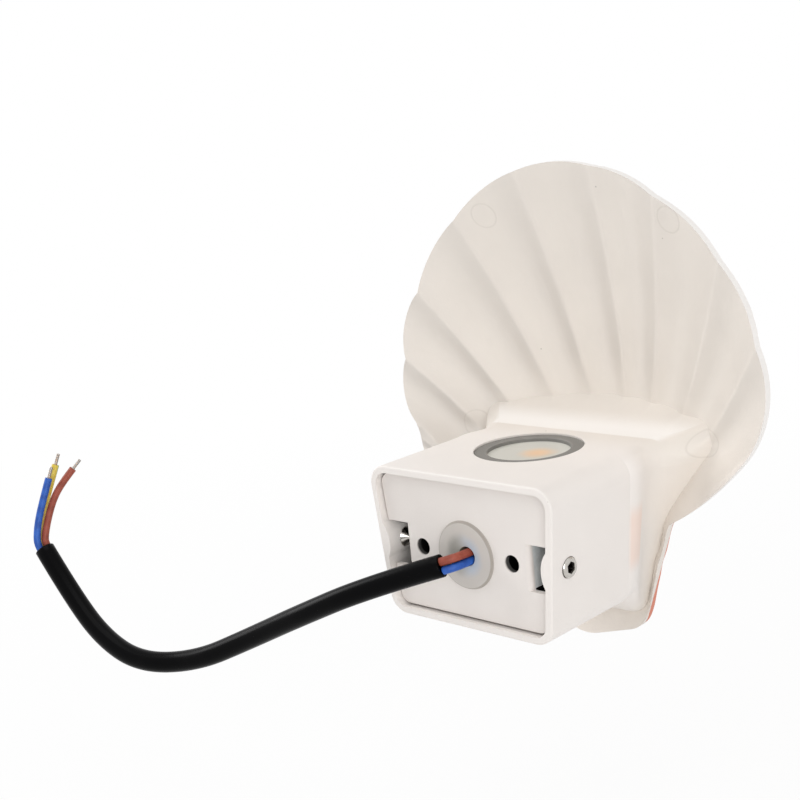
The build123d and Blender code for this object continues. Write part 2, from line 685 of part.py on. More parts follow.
# Set screws: hex socket outside, cone point at the bracket's tab
for name, sign in (("set_screw_left", 1), ("set_screw_right", -1)):
    outer = tab_face + SCREW_GAP + SCREW_LENGTH
    seat = Plane(origin=(sign * outer, SCREW_Y, SCREW_Z), z_dir=(-sign, 0, 0))
    with BuildPart() as set_screw:
        with BuildSketch(seat):
            Circle(SCREW_DIAMETER / 2)
        extrude(amount=SCREW_LENGTH - SCREW_POINT)
        with BuildSketch(seat.offset(SCREW_LENGTH - SCREW_POINT)):
            Circle(SCREW_DIAMETER / 2)
        with BuildSketch(seat.offset(SCREW_LENGTH)):
            Circle(SCREW_POINT_RADIUS)
        loft()
        rounds = set_screw.edges().filter_by(GeomType.CIRCLE).sort_by(Axis.X)
        chamfer(rounds[-1 if sign > 0 else 0], SCREW_EDGE)
        with BuildSketch(seat):
            RegularPolygon(SCREW_SOCKET / 2, 6, major_radius=False)
        extrude(amount=SCREW_SOCKET_DEPTH, mode=Mode.SUBTRACT)
    save(set_screw.part, name)

# Cable: one sheath, three cores that come out of both ends, and the bare copper at the far end
save(tube(SHEATH_ROUTE, SHEATH_DIAMETER, "cable_sheath"), "cable_sheath")

near_end = Vector(*SHEATH_ROUTE[0])
near_way = (near_end - Vector(*SHEATH_ROUTE[1])).normalized()
far_end = Vector(*SHEATH_ROUTE[-1])
far_way = (far_end - Vector(*SHEATH_ROUTE[-2])).normalized()
turn_way = (near_way + FRONT_SIDE).normalized()
turn_start = near_end + near_way * CORE_LEAVE
turn_end = turn_start + turn_way * CORE_TURN
near_frame = Plane(near_end, z_dir=near_way, x_dir=Vector(0, 0, 1).cross(near_way))
turn_frame = Plane(turn_start, z_dir=turn_way, x_dir=Vector(0, 0, 1).cross(turn_way))
entry_frame = Plane(turn_end, z_dir=FRONT_SIDE, x_dir=(1, 0, 0))
far_frame = Plane(far_end, z_dir=far_way, x_dir=Vector(0, 1, 0).cross(far_way))
copper = []
for name, turns, tail in (
    ("core_brown", BROWN_TURNS, BROWN_TAIL),
    ("core_blue", BLUE_TURNS, BLUE_TAIL),
    ("core_earth", EARTH_TURNS, EARTH_TAIL),
):
    near_turn, far_turn = [math.radians(turn) for turn in turns]
    place = Vector(CORE_CIRCLE * math.cos(near_turn), CORE_CIRCLE * math.sin(near_turn))
    far_place = Vector(CORE_CIRCLE * math.cos(far_turn), CORE_CIRCLE * math.sin(far_turn))
    start = near_frame.from_local_coords(place)
    straight = near_way.dot(turn_start + mitre(near_frame, turn_frame, place) - start)
    bare = [start, start + near_way * straight]
    bare.append(turn_end + mitre(turn_frame, entry_frame, place))
    for step in range(CORE_STEPS):
        depth = GROMMET_FLANGE + GROMMET_CENTRE_RISE - CORE_STEP * step
        bare.append(Vector(ENTRY_X + place.X, depth, ENTRY_Z + place.Y - CORE_SAG * step**2))
    leave = far_frame.from_local_coords(far_place)
    loose = [leave, leave + far_way * CORE_LEAVE] + [Vector(*point) for point in tail]
    with BuildPart() as core:
        add(tube([tuple(p) for p in bare], CORE_DIAMETER, name + " near"))
        add(tube([tuple(p) for p in loose], CORE_DIAMETER, name + " far"))
    save(core.part, name)
    end = loose[-1]
    copper.append(Plane(end, z_dir=(end - loose[-2]).normalized()))

with BuildPart() as conductor_tips:
    for plane in copper:
        with BuildSketch(plane):
            Circle(CONDUCTOR_DIAMETER / 2)
        extrude(amount=CONDUCTOR_LENGTH)
save(conductor_tips.part, "conductor_tips")
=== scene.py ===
import bpy
import bmesh
import numpy as np
from mathutils import Matrix, Vector


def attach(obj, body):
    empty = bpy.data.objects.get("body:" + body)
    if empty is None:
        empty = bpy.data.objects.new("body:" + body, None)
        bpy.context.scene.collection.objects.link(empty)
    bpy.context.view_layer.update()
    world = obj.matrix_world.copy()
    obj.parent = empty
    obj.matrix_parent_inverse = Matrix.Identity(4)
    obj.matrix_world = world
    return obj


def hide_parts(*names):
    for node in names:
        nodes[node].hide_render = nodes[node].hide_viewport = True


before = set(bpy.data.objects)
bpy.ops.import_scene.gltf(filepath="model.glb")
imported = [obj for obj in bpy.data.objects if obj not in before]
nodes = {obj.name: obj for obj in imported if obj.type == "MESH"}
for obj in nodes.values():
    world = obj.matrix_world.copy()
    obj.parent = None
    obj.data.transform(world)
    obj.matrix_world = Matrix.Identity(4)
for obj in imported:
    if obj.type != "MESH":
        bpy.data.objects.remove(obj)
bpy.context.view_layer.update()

# Camera
# It looks at the back of the light from a little above and from the -X side, as the picture was taken,
# with a long lens and no shift. The camera leans six degrees.
camera_place = Vector((-0.21407, 0.23020, 0.10547))
round_about, height_angle, lean = np.radians([225.04, 12.02, -6.06])
behind = Vector((
    np.sin(round_about) * np.cos(height_angle),
    -np.cos(round_about) * np.cos(height_angle),
    np.sin(height_angle),
))
level = (-behind).cross(Vector((0, 0, 1))).normalized()
upright = level.cross(-behind)
across = level * np.cos(lean) + upright * np.sin(lean)
upward = upright * np.cos(lean) - level * np.sin(lean)
stance = Matrix((across, upward, behind)).transposed().to_4x4()
camera_lens = bpy.data.cameras.new("camera")
camera_lens.lens = 63.247
camera_lens.sensor_width = 36
camera = bpy.data.objects.new("camera", camera_lens)
camera.matrix_world = Matrix.Translation(camera_place) @ stance
bpy.context.scene.collection.objects.link(camera)
bpy.context.scene.camera = camera

# Cable sheath
# Black soft PVC, extruded over three twisted cores and cut square at both ends. It comes straight out of
# the bracket's middle, sags under its own weight and turns up at its bare end.
sheath_across = 0.0055
lay_length = 0.045
lay_depth = 0.006
sheath_route = np.array([
    (0.0014, 0.0070, -0.0006),
    (0.0196, 0.0152, -0.0066),
    (0.0392, 0.0195, -0.0156),
    (0.0572, 0.0220, -0.0244),
    (0.0742, 0.0275, -0.0323),
    (0.0902, 0.0340, -0.0338),
    (0.1047, 0.0355, -0.0288),
    (0.1182, 0.0350, -0.0186),
    (0.1276, 0.0354, -0.0070),
])


def laid_line(route):
    """Points along the smooth open NURBS line that has the route as its control points."""
    curve = bpy.data.curves.new("route", "CURVE")
    curve.dimensions = "3D"
    curve.resolution_u = 14
    line = curve.splines.new("NURBS")
    line.points.add(len(route) - 1)
    line.points.foreach_set("co", np.c_[route, np.ones(len(route))].ravel())
    line.order_u = 3
    line.use_endpoint_u = True
    holder = bpy.data.objects.new("route", curve)
    read = bpy.data.meshes.new_from_object(holder)
    along = np.empty(3 * len(read.vertices))
    read.vertices.foreach_get("co", along)
    bpy.data.objects.remove(holder)
    bpy.data.curves.remove(curve)
    bpy.data.meshes.remove(read)
    return along.reshape(-1, 3)


def tube_rows(line, side, radius, cut, columns=40, swell=None):
    """Round profile carried along a line. Each row is a circle square to the line, drawn from the side
    direction; the rows of cut, (distance into the tube, share of the radius), close both ends, and swell
    (turns round, metres along) multiplies the radius."""
    way = np.gradient(line, axis=0)
    way /= np.linalg.norm(way, axis=1)[:, None]
    ends = np.array(cut)
    centre = np.r_[line[0] + ends[:, :1] * way[0], line[1:-1], line[-1] - ends[::-1, :1] * way[-1]]
    way = np.r_[np.repeat(way[:1], len(ends), 0), way[1:-1], np.repeat(way[-1:], len(ends), 0)]
    size = radius * np.r_[ends[:, 1], np.ones(len(line) - 2), ends[::-1, 1]]
    first = np.asarray(side, float) - (way @ side)[:, None] * way
    first /= np.linalg.norm(first, axis=1)[:, None]
    second = np.cross(way, first)
    turn = np.linspace(0, 1, columns + 1)
    metres = np.r_[0, np.cumsum(np.linalg.norm(np.diff(centre, axis=0), axis=1))]
    grow = np.ones((len(centre), columns + 1)) if swell is None else swell(turn[None, :], metres[:, None])
    reach = (size[:, None] * grow)[..., None]
    angle = 2 * np.pi * turn[None, :, None]
    rows = centre[:, None] + reach * (np.cos(angle) * first[:, None] + np.sin(angle) * second[:, None])
    return rows, np.broadcast_to(turn, rows.shape[:2]), np.broadcast_to(metres[:, None], rows.shape[:2])


def grid_piece(name, sheets):
    """Object made of closed sheets of points. A sheet is rows x columns of points with two surface
    parameters per point; each four neighbours make a face, and points that coincide are joined."""
    same_place = 1e-7
    points, corners, around, along = [], [], [], []
    count = 0
    for rows, turn, metres in sheets:
        index = count + np.arange(rows[..., 0].size).reshape(rows.shape[:2])
        square = [index[:-1, :-1], index[:-1, 1:], index[1:, 1:], index[1:, :-1]]
        corners.append(np.stack(square, -1).reshape(-1, 4))
        points.append(rows.reshape(-1, 3))
        around.append(np.asarray(turn).ravel())
        along.append(np.asarray(metres).ravel())
        count += index.size
    corners = np.concatenate(corners)
    mesh = bpy.data.meshes.new(name)
    mesh.from_pydata(np.concatenate(points), [], corners)
    wrap = mesh.uv_layers.new(name="wrap")
    wrap.data.foreach_set("uv", np.c_[np.concatenate(around), np.concatenate(along)][corners.ravel()].ravel())
    work = bmesh.new()
    work.from_mesh(mesh)
    bmesh.ops.remove_doubles(work, verts=work.verts, dist=same_place)
    bmesh.ops.recalc_face_normals(work, faces=work.faces)
    work.to_mesh(mesh)
    work.free()
    mesh.shade_smooth()
    piece = bpy.data.objects.new(name, mesh)
    bpy.context.scene.collection.objects.link(piece)
    return piece


class Field:
    """A value that changes over a surface. It wraps a node's socket, and arithmetic on it adds Math nodes."""

    def __init__(self, paint, socket):
        self.paint = paint
        self.socket = socket

    def maths(self, operation, *values):
        return self.paint.node("ShaderNodeMath", {"operation": operation}, dict(enumerate(values)))

    def __add__(self, other):
        return self.maths("ADD", self, other)

    def __sub__(self, other):
        return self.maths("SUBTRACT", self, other)

    def __rsub__(self, other):
        return self.maths("SUBTRACT", other, self)

    def __mul__(self, other):
        return self.maths("MULTIPLY", self, other)

    def __pow__(self, other):
        return self.maths("POWER", self, other)

    def __abs__(self):
        return self.maths("ABSOLUTE", self)

    __radd__ = __add__
    __rmul__ = __mul__

    def cosine(self):
        return self.maths("COSINE", self)

    def part(self):
        return self.maths("FRACT", self)

    def rise(self, start, end):
        """Soft step from 0 at start to 1 at end; start may be the larger."""
        low, high, first, last = (start, end, 0, 1) if start < end else (end, start, 1, 0)
        return self.paint.node(
            "ShaderNodeMapRange", {"interpolation_type": "SMOOTHSTEP"},
            {"Value": self, "From Min": low, "From Max": high, "To Min": first, "To Max": last},
        )

    def near(self, middle, half, soft):
        """1 within half of the middle, falling to 0 over soft."""
        return abs(self - middle).rise(half + soft, half)


class Paint:
    """A finish made of nodes, on a material or the world. node() adds any node."""

    def __init__(self, name, nodes_of=None, **constants):
        self.owner = nodes_of or bpy.data.materials.new(name)
        self.owner.use_nodes = True
        self.tree = self.owner.node_tree
        self.surface = next(n for n in self.tree.nodes if n.type in ("BSDF_PRINCIPLED", "BACKGROUND"))
        self.finish(**constants)

    def feed(self, socket, value):
        if isinstance(value, Field):
            self.tree.links.new(value.socket, socket)
        else:
            socket.default_value = value

    def node(self, kind, settings, sockets, output=0):
        made = self.tree.nodes.new(kind)
        for setting, value in settings.items():
            setattr(made, setting, value)
        for socket, value in sockets.items():
            self.feed(made.inputs[socket], value)
        return Field(self, made.outputs[output])

    def finish(self, **sockets):
        """Feed the surface: a socket's name with _ for its spaces, and its value."""
        for socket, value in sockets.items():
            self.feed(self.surface.inputs[socket.replace("_", " ")], value)
        return self.owner

    def place(self, centre=(0, 0, 0)):
        """Object coordinates in millimetres from a centre given in metres."""
        at = self.node("ShaderNodeTexCoord", {}, {}, "Object")
        return self.node("ShaderNodeMapping", {}, {
            "Vector": at, "Location": [-1000 * c for c in centre], "Scale": (1000, 1000, 1000)
        })

    def axes(self, vector):
        """The three numbers of a vector."""
        split = self.node("ShaderNodeSeparateXYZ", {}, {0: vector}, "X")
        outputs = split.socket.node.outputs
        return split, Field(self, outputs["Y"]), Field(self, outputs["Z"])

    def noise(self, vector, size, detail=2.0):
        """Cloudy noise from 0 to 1 whose grains are size millimetres wide."""
        grains = {"Vector": vector, "Scale": 1 / size, "Detail": detail}
        return self.node("ShaderNodeTexNoise", {}, grains, "Fac")

    def mix(self, share, first, second):
        """Colour that goes from first to second as the share goes from 0 to 1."""
        return self.node("ShaderNodeMix", {"data_type": "RGBA"}, {0: share, 6: first, 7: second}, 2)

    def relief(self, height, millimetres):
        """Normal bent by a height field; height 1 stands this many millimetres proud."""
        bump = {"Height": height, "Distance": millimetres / 1000, "Strength": 1.0}
        return self.node("ShaderNodeBump", {}, bump)


def tone(red, green, blue):
    """A swatch's 0 to 255 values as linear light."""
    swatch = np.array([red, green, blue]) / 255
    light = np.where(swatch <= 0.04045, swatch / 12.92, ((swatch + 0.055) / 1.055) ** 2.4)
    return (*light, 1.0)


def lay_of_cores(turn, metres):
    """Sheath radius share: the three cores inside show as a faint long twist."""
    return 1 - lay_depth * (1 - np.cos(2 * np.pi * (3 * turn + metres / lay_length)))


sheath_line = laid_line(sheath_route)
square_cut = [(0.0012, 0.0), (0.0012, 0.78), (0.0001, 0.80), (0.0, 0.86), (0.0, 0.96), (0.00014, 1.0)]
sheath = grid_piece("sheath", [tube_rows(
    sheath_line, (0, 1, 0), sheath_across / 2, square_cut, columns=48, swell=lay_of_cores
)])

black_pvc = Paint("black_pvc", IOR=1.4, Specular_IOR_Level=0.08)
skin = black_pvc.place()
grain = black_pvc.noise(skin, 0.5, 4)
wrap_u, wrap_v, _ = black_pvc.axes(black_pvc.node("ShaderNodeUVMap", {"uv_map": "wrap"}, {}))
drawn = black_pvc.noise(black_pvc.node("ShaderNodeCombineXYZ", {}, {"X": wrap_u * 60, "Y": wrap_v * 40}), 1.0)
dusty = black_pvc.noise(skin, 9.0, 3).rise(0.5, 0.8)
sheath.data.materials.append(black_pvc.finish(
    Base_Color=black_pvc.mix(dusty * 0.5 + grain * 0.3, tone(3, 3, 4), tone(11, 10, 11)),
    Roughness=0.18 + drawn * 0.10 + dusty * 0.08,
    Normal=black_pvc.relief(grain * 0.5 + drawn * 0.5, 0.03),
))
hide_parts("cable_sheath")
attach(sheath, "bracket")

# Cable cores
# Three PVC-insulated wires, brown, blue and yellow-green, bared of the sheath at both ends. They pass
# through the grommet's one hole at the near end, and fan out at the far end.
core_across = 0.0020
core_circle = 0.00125
straight_run = 0.0014
bend_run = 0.0022
hole_x, hole_z = -0.0012, 0.0002
inside_start, inside_step, inside_sag = 0.0012, 0.0049, 0.00008
insulation_cut = [(0.0006, 0.0), (0.0006, 0.46), (0.0, 0.50), (0.0, 0.90), (0.0001, 1.0)]
brown_tail = [
    (0.1278, 0.0344, -0.0032), (0.1277, 0.0327, 0.0013), (0.1269, 0.0304, 0.0066),
    (0.1254, 0.0278, 0.0106), (0.1236, 0.0249, 0.0140),
]
blue_tail = [
    (0.1288, 0.0366, -0.0036), (0.1288, 0.0352, 0.0012), (0.1282, 0.0327, 0.0074), (0.1276, 0.0306, 0.0123),
]
earth_tail = [
    (0.1306, 0.0342, -0.0043), (0.1308, 0.0326, 0.0017), (0.1300, 0.0299, 0.0081), (0.1291, 0.0269, 0.0151),
]


def unit(vector):
    """A vector's direction, one long."""
    return vector / np.linalg.norm(vector)


near_way = unit(sheath_route[0] - sheath_route[1])
near_side = unit(np.cross((0, 0, 1), near_way))
far_way = unit(sheath_route[-1] - sheath_route[-2])
far_side = unit(np.cross((0, 1, 0), far_way))
bend_way = unit(near_way + (0, -1, 0))
bend_side = unit(np.cross((0, 0, 1), bend_way))
hole_side, hole_top = np.array([1, 0, 0]), np.array([0, 0, 1])
bend_start = sheath_route[0] + straight_run * near_way
bend_end = bend_start + bend_run * bend_way


def spot(turn, first, way):
    """Place of a core in the cable's round section: a point at this turn on the cores' circle."""
    return core_circle * (np.cos(np.radians(turn)) * first + np.sin(np.radians(turn)) * np.cross(way, first))


def mitred(first, second):
    """Direction that halves the angle of two unit directions, long enough to meet both offsets."""
    return (first + second) / (1 + first @ second)


def core_lines(near_turn, far_turn, tail):
    """Lines of a core's two bare ends: from the sheath through the grommet, and out to its tail."""
    start = sheath_route[0] + spot(near_turn, near_side, near_way)
    right, above = core_circle * np.array([np.cos(np.radians(near_turn)), np.sin(np.radians(near_turn))])
    near_top = np.cross(near_way, near_side)
    bend_top = np.cross(bend_way, bend_side)
    leave = bend_start + right * mitred(near_side, bend_side) + above * mitred(near_top, bend_top)
    arrive = bend_end + right * mitred(bend_side, hole_side) + above * mitred(bend_top, hole_top)
    step = np.arange(4)
    inside = np.c_[
        np.full(4, hole_x + right), inside_start - inside_step * step, hole_z + above - inside_sag * step**2
    ]
    straight = start + near_way * (near_way @ (leave - start))
    near = laid_line(np.vstack([start, straight, arrive, inside]))
    loose = sheath_route[-1] + spot(far_turn, far_side, far_way)
    far = laid_line(np.vstack([loose, loose + straight_run * far_way, tail]))
    return near, far


def core_finish(name, deep, bright, stripe=None):
    """Coloured PVC with a soft shine, slightly cloudy and rubbed; a stripe runs along it in a slow twist."""
    pvc = Paint(name, IOR=1.5, Specular_IOR_Level=0.4)
    at = pvc.place()
    cloud = pvc.noise(at, 2.4, 3)
    colour = pvc.mix(cloud.rise(0.3, 0.7), tone(*deep), tone(*bright))
    if stripe:
        turns_a_metre, stripe_place = 16, 0.62
        u, v, _ = pvc.axes(pvc.node("ShaderNodeUVMap", {"uv_map": "wrap"}, {}))
        band = (u + v * turns_a_metre + stripe_place).part().near(0.5, 0.17, 0.02)
        colour = pvc.mix(band, colour, tone(*stripe))
    fine = pvc.noise(at, 0.25, 3)
    return pvc.finish(
        Base_Color=colour, Roughness=0.34 + fine * 0.16 + cloud * 0.08, Normal=pvc.relief(fine + cloud, 0.02)
    )


core_ends = []
brown_pvc = core_finish("brown_pvc", (133, 58, 40), (158, 78, 60))
blue_pvc = core_finish("blue_pvc", (28, 74, 158), (48, 100, 190))
earth_pvc = core_finish("earth_pvc", (216, 188, 66), (232, 210, 100), (104, 150, 56))
for core, near_turn, far_turn, tail, finish in (
    ("core_brown", 120, 210, brown_tail, brown_pvc),
    ("core_blue", 240, 90, blue_tail, blue_pvc),
    ("core_earth", 0, 330, earth_tail, earth_pvc),
):
    near, far = core_lines(near_turn, far_turn, tail)
    wire = grid_piece(core.replace("core", "wire"), [
        tube_rows(near, (0, 0, 1), core_across / 2, insulation_cut, columns=28),
        tube_rows(far, (0, 1, 0), core_across / 2, insulation_cut, columns=28),
    ])
    wire.data.materials.append(finish)
    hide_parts(core)
    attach(wire, "bracket")
    core_ends.append((far[-1], unit(far[-1] - far[-2])))

# Conductor tips
# Fine tinned copper strands, twisted by hand and bared for three millimetres at the end of each core.
tip_across = 0.0009
tip_length = 0.0032
tip_root = 0.0003
strand_width = 0.0006


def twisted_strands(turn, metres):
    """Radius share of a bundle: seven strands round the outside, turning once in four millimetres."""
    return 0.86 + 0.14 * np.abs(np.cos(np.pi * (7 * turn + metres / strand_width)))


tip_cut = [(0.0, 0.0), (0.0, 0.55), (0.00004, 0.88), (0.00012, 1.0)]
tips = grid_piece("strands", [
    tube_rows(
        end + np.linspace(-tip_root, tip_length, 30)[:, None] * way, (0, 1, 0), tip_across / 2, tip_cut,
        columns=42, swell=twisted_strands,
    )
    for end, way in core_ends
])
tinned = Paint("tinned_copper", Metallic=1.0)
tin_at = tinned.place()
tin_cloud = tinned.noise(tin_at, 0.5, 4)
tips.data.materials.append(tinned.finish(
    Base_Color=tinned.mix(tin_cloud.rise(0.42, 0.75), tone(150, 148, 146), tone(196, 160, 130)),
    Roughness=0.26 + tin_cloud * 0.22,
    Normal=tinned.relief(tinned.noise(tin_at, 0.08, 2), 0.01),
))
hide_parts("conductor_tips")
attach(tips, "bracket")

# Cable grommet
# A moulded disc of clear silicone, pressed into the bracket's middle hole, with one hole for the cores.
# It looks milky. Its colour carries painted light and shade: bluish painted light on the -X side of its thick
# middle, painted shade on the +X side, a painted shadow round its edge and painted shade deeper in.
grommet_edge = 8.15
silicone = Paint(
    "clear_silicone", IOR=1.41, Subsurface_Weight=0.15, Subsurface_Radius=(1, 1, 1), Subsurface_Scale=0.002
)
grommet_at = silicone.place()
gx, gy, gz = silicone.axes(grommet_at)
from_middle = (gx * gx + gz * gz) ** 0.5
milky = silicone.noise(grommet_at, 3.0, 3)
thick = (from_middle + (milky - 0.5) * 1.2).rise(6.2, 3.4)
# Painted light and shade: the thick middle turns bluish on its -X side and darker grey on its +X side.
silicone_colour = silicone.mix(thick * gx.rise(4.0, -4.0), tone(199, 193, 187), tone(182, 191, 202))
silicone_colour = silicone.mix(thick * gx.rise(-2.0, 3.0) * 0.8, silicone_colour, tone(150, 147, 142))
# Painted shadow: a darker line round the disc's edge.
edge_painted_shadow = from_middle.near(grommet_edge, 0.08, 0.3)
silicone_colour = silicone.mix(edge_painted_shadow, silicone_colour, tone(166, 159, 151))
# Painted shade: the silicone turns darker where it lies deeper, in the bracket's hole.
silicone_colour = silicone.mix((gy + 0.2).rise(0.1, -0.6), silicone_colour, tone(150, 148, 146))


def dress(node, finish):
    """Give one of the frame's nodes this finish alone."""
    nodes[node].data.materials.clear()
    nodes[node].data.materials.append(finish)


dress("cable_grommet", silicone.finish(
    Base_Color=silicone_colour,
    Roughness=0.30 + milky * 0.18,
    Normal=silicone.relief(milky + silicone.noise(grommet_at, 0.4, 2) * 0.3, 0.05),
))

# Wall bracket
# Bent steel sheet, powder-coated white on its wall side, with two wall-screw holes and two tabs of bare,
# mottled zinc for the set screws. Painted shade darkens the holes' walls and the tabs' inner side, and a
# painted shadow darkens the plate's sheared top edge, which faces the gap above it.
hole_offset = 13.8
bracket_coat = Paint("bracket_coat", IOR=1.5, Specular_IOR_Level=0.35)
bracket_at = bracket_coat.place()
bx, by, bz = bracket_coat.axes(bracket_at)
facing_side, _, facing_top = bracket_coat.axes(bracket_coat.node("ShaderNodeTexCoord", {}, {}, "Normal"))
peel = bracket_coat.noise(bracket_at, 0.55, 2)
cloudy = bracket_coat.noise(bracket_at, 11.0, 2)
zinc = by.rise(-1.0, -1.9)
spangle = bracket_coat.node(
    "ShaderNodeTexVoronoi", {}, {"Vector": bracket_at, "Scale": 0.9, "Randomness": 1.0}, "Color"
)
spangle_grey = bracket_coat.axes(spangle)[0]
scuffs = bracket_coat.noise(bracket_coat.node("ShaderNodeVectorMath", {"operation": "MULTIPLY"}, {
    0: bracket_at, 1: (1.0, 0.35, 3.0)
}), 0.7, 4)
white_coat = bracket_coat.mix(cloudy, tone(229, 222, 217), tone(236, 230, 225))
bare_zinc = bracket_coat.mix(spangle_grey * 0.6 + scuffs * 0.5, tone(222, 229, 230), tone(238, 243, 244))
from_hole_squared = (abs(bx) - hole_offset) ** 2 + bz * bz
# Painted shade: the walls of the wall-screw holes are dark grey.
hole_wall_painted_shade = from_hole_squared.rise(5.3, 4.6) * by.rise(-0.1, -0.6)
bracket_colour = bracket_coat.mix(zinc, white_coat, bare_zinc)
bracket_colour = bracket_coat.mix(hole_wall_painted_shade, bracket_colour, tone(84, 83, 81))
# Painted shade: the zinc tabs' inner faces are nearly black.
tab_inner_painted_shade = (facing_side * bx.maths("SIGN", bx)).rise(-0.3, -0.6) * zinc
# Painted shadow: the plate's top edge, facing the gap above it, is nearly black.
top_edge_painted_shadow = facing_top.rise(0.4, 0.7) * bz.rise(12.0, 14.0) * by.rise(-0.02, -0.15)
bracket_colour = bracket_coat.mix(tab_inner_painted_shade + top_edge_painted_shadow, bracket_colour, tone(46, 45, 44))
dress("wall_bracket", bracket_coat.finish(
    Base_Color=bracket_colour,
    Metallic=zinc * 0.1,
    Roughness=0.46 + peel * 0.1 - zinc * 0.08,
    Normal=bracket_coat.relief(peel * (1 - zinc) + scuffs * zinc, 0.035),
))

# Cast body
# One zinc casting: the tapered box that opens at the wall, the neck and the scallop shell. Its back is
# powder-coated in warm white and its front in coral, with a little overspray at the edge of the ears.
body_coat = Paint("body_coat", IOR=1.5, Specular_IOR_Level=0.4)
body_at = body_coat.place()
x, y, z = body_coat.axes(body_at)
_, facing, facing_up = body_coat.axes(body_coat.node("ShaderNodeTexCoord", {}, {}, "Normal"))
body_peel = body_coat.noise(body_at, 0.6, 2)
body_cloud = body_coat.noise(body_at, 14.0, 3)
shell_share = y.rise(-30, -46)
coat_white = body_coat.mix(body_cloud, tone(236, 230, 225), tone(242, 236, 231))
coat_cream = body_coat.mix(body_cloud, tone(228, 221, 213), tone(236, 229, 221))
body_colour = body_coat.mix(shell_share, coat_white, coat_cream)

# Crisp ridges between the shell's channels fan out from the beak below, and are grooves on the front.
beak_drop = 26.0
ridge_height = 2.0
crest_roundness = 0.014
ridge_start, ridge_full = 46, 66
last_rib = 5.6
beak_z = z + beak_drop
rib_turn = abs(x.maths("ARCTAN2", x, beak_z)) * (180 / np.pi)
from_beak = (x * x + beak_z * beak_z) ** 0.5


def ribs_counted(turn, ridges):
    """Ribs from the middle: a broken straight line of the turn, with the ridges at the halves."""
    spans = np.diff([-ridges[0], *ridges])
    steps = np.diff(1 / spans)
    count = turn * (1 / spans[0])
    for ridge, step in zip(ridges, steps):
        count = count + turn.maths("MAXIMUM", turn - ridge, 0) * step
    return count


left_ribs = ribs_counted(rib_turn, [6.2, 18.4, 31.4, 42.4, 51.6])
right_ribs = ribs_counted(rib_turn, [5.7, 15.4, 26.9, 37.6, 48.8])
ribs = right_ribs + (left_ribs - right_ribs) * x.maths("GREATER_THAN", x, 0)
ridge = 1 - ((ribs * np.pi).cosine() ** 2 + crest_roundness) ** 0.5
ridge = ridge * ridge_height * from_beak.rise(ridge_start, ridge_full) * (last_rib - ribs).rise(0, 1)
ridge = ridge * (facing.rise(0.15, 0.4) - facing.rise(-0.15, -0.4)) * y.rise(-41, -42.5)

# The front's coral has drifted round the edge of the ears, beside the neck, and faintly on the neck itself.
notch_x, notch_z = 27.5, -1.6
ear_lean_x, ear_lean_z = 0.942, -0.3355
edge_noise = body_coat.noise(body_at, 0.9, 3)
past_ear = (abs(x) - notch_x) * ear_lean_x + (z - notch_z) * ear_lean_z
ear_edge = past_ear.rise(-0.7, -0.3) * z.rise(0.0, -3.0)
overspray = (y + (edge_noise - 0.5) * 0.5).rise(-44.85, -45.15) * abs(facing).rise(0.3, 0.12) * ear_edge
front = facing.rise(-0.12, -0.24) * y.rise(-43.5, -44.5)
coral = body_coat.mix(body_cloud.rise(0.25, 0.75), tone(212, 118, 90), tone(221, 129, 100))
coral = body_coat.mix(edge_noise.rise(0.62, 0.75) * 0.35, coral, tone(190, 92, 64))
neck_blush = x.rise(0, -4) * y.near(-30.9, 1.9, 1.6) * z.near(-1.0, 4.5, 5.0) * 0.42
body_colour = body_coat.mix(neck_blush, body_colour, tone(244, 204, 182))
body_colour = body_coat.mix(overspray * 0.9 + front, body_colour, coral)

# A painted highlight lightens the rim's edge, and painted shade darkens the casting's wall in the gap below
# the bracket.
# Painted highlight: the rim's side faces are lightened nearly to white.
rim_painted_highlight = abs(facing).rise(0.4, 0.15) * y.rise(-42.5, -43.5) * z.rise(2.0, 8.0)
body_colour = body_coat.mix(rim_painted_highlight * 0.8, body_colour, tone(252, 249, 246))
# Painted shade: the casting's wall in the gap below the bracket is dark.
gap_painted_shade = facing_up.rise(0.4, 0.7) * z.rise(-15.0, -18.0) * y.rise(0.9, 0.5) * y.rise(-13.0, -11.0)
body_colour = body_coat.mix(gap_painted_shade, body_colour, tone(64, 61, 58))

# Four ejector pins have left faint round marks on the shell's back.
pin_radius = 3.2
pin_ring = 0
for pin_x, pin_z in ((24.7, 74.0), (-31.7, 72.1), (39.0, 16.7), (-34.5, 17.5)):
    from_pin = ((x - pin_x) ** 2 + (z - pin_z) ** 2) ** 0.5
    pin_ring = from_pin.near(pin_radius, 0.05, 0.28) + pin_ring
pin_ring = pin_ring * y.rise(-42, -43.5) * facing.rise(0.2, 0.5)
body_colour = body_coat.mix(pin_ring * 0.18, body_colour, tone(186, 178, 168))
speck_field = body_coat.node(
    "ShaderNodeTexVoronoi", {}, {"Vector": body_at, "Scale": 0.085, "Randomness": 1.0}, "Distance"
)
specks = speck_field.rise(0.026, 0.014) * (1 - front)
body_colour = body_coat.mix(specks * 0.5, body_colour, tone(120, 112, 104))
dress("cast_body", body_coat.finish(
    Base_Color=body_colour,
    Roughness=0.42 + body_peel * 0.1 + shell_share * 0.08,
    Normal=body_coat.relief(body_peel * 0.03 + body_cloud * 0.02 - pin_ring * 0.03 + ridge, 1.0),
))

